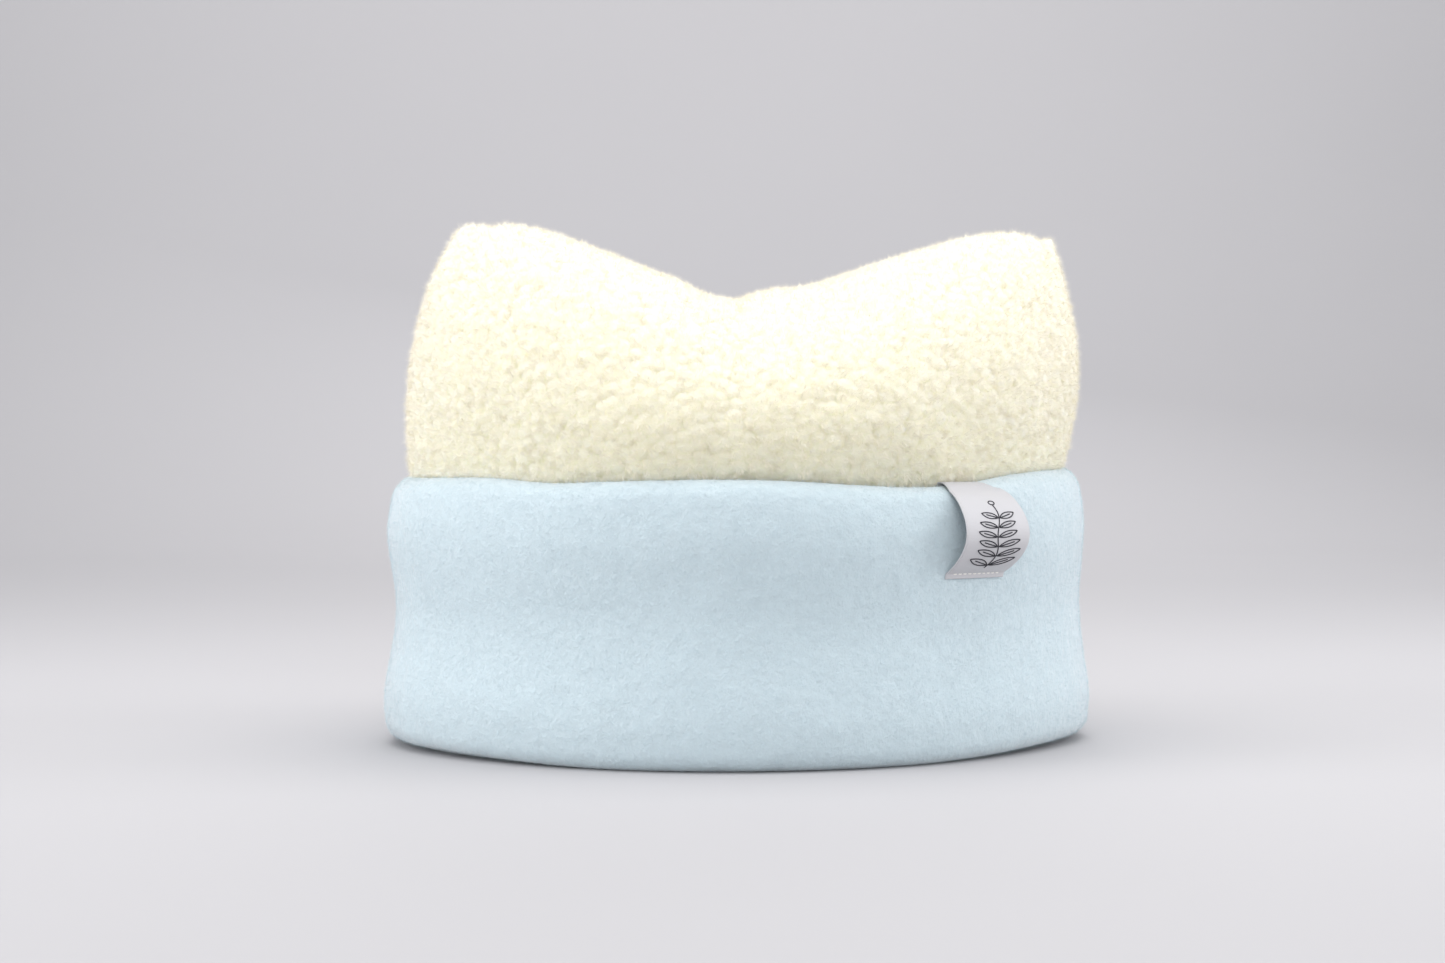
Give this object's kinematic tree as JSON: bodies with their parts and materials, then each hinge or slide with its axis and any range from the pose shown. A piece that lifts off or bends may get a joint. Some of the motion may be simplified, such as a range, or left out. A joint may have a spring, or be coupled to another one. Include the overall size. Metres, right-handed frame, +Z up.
{
  "type": "fleece hat",
  "caption": "Warm fleece hat: an eared sherpa crown with a soft lining, and a broad turned-up fleece cuff that carries a small folded label.",
  "frame": {"origin": "on the surface the hat stands on, under the middle of the turned-up cuff", "axes": "+Z up from the opening to the ears, -Y out of the front of the hat, +X to the right of someone looking at the front, along the line from ear to ear"},
  "size_m": [0.24, 0.175, 0.1772],
  "materials": {
    "sherpa": "curly matte pile",
    "lining_fleece": "soft brushed matte",
    "cuff_fleece": "soft brushed matte",
    "woven_label": "smooth woven satin",
    "cream_thread": "spun thread"
  },
  "bodies": {
    "root": {"shell_front": "sherpa", "shell_back": "sherpa", "shell_top_seam": "cream_thread", "shell_side_seam_left": "cream_thread", "shell_side_seam_right": "cream_thread", "lining_front": "lining_fleece", "lining_back": "lining_fleece", "lining_top_seam": "cream_thread", "lining_side_seam_left": "cream_thread", "lining_side_seam_right": "cream_thread", "cuff_band": "cuff_fleece", "cuff_back_seam": "cream_thread", "brim_seam": "cream_thread", "label": "woven_label", "label_stitching": "cream_thread"}
  },
  "joints": []
}
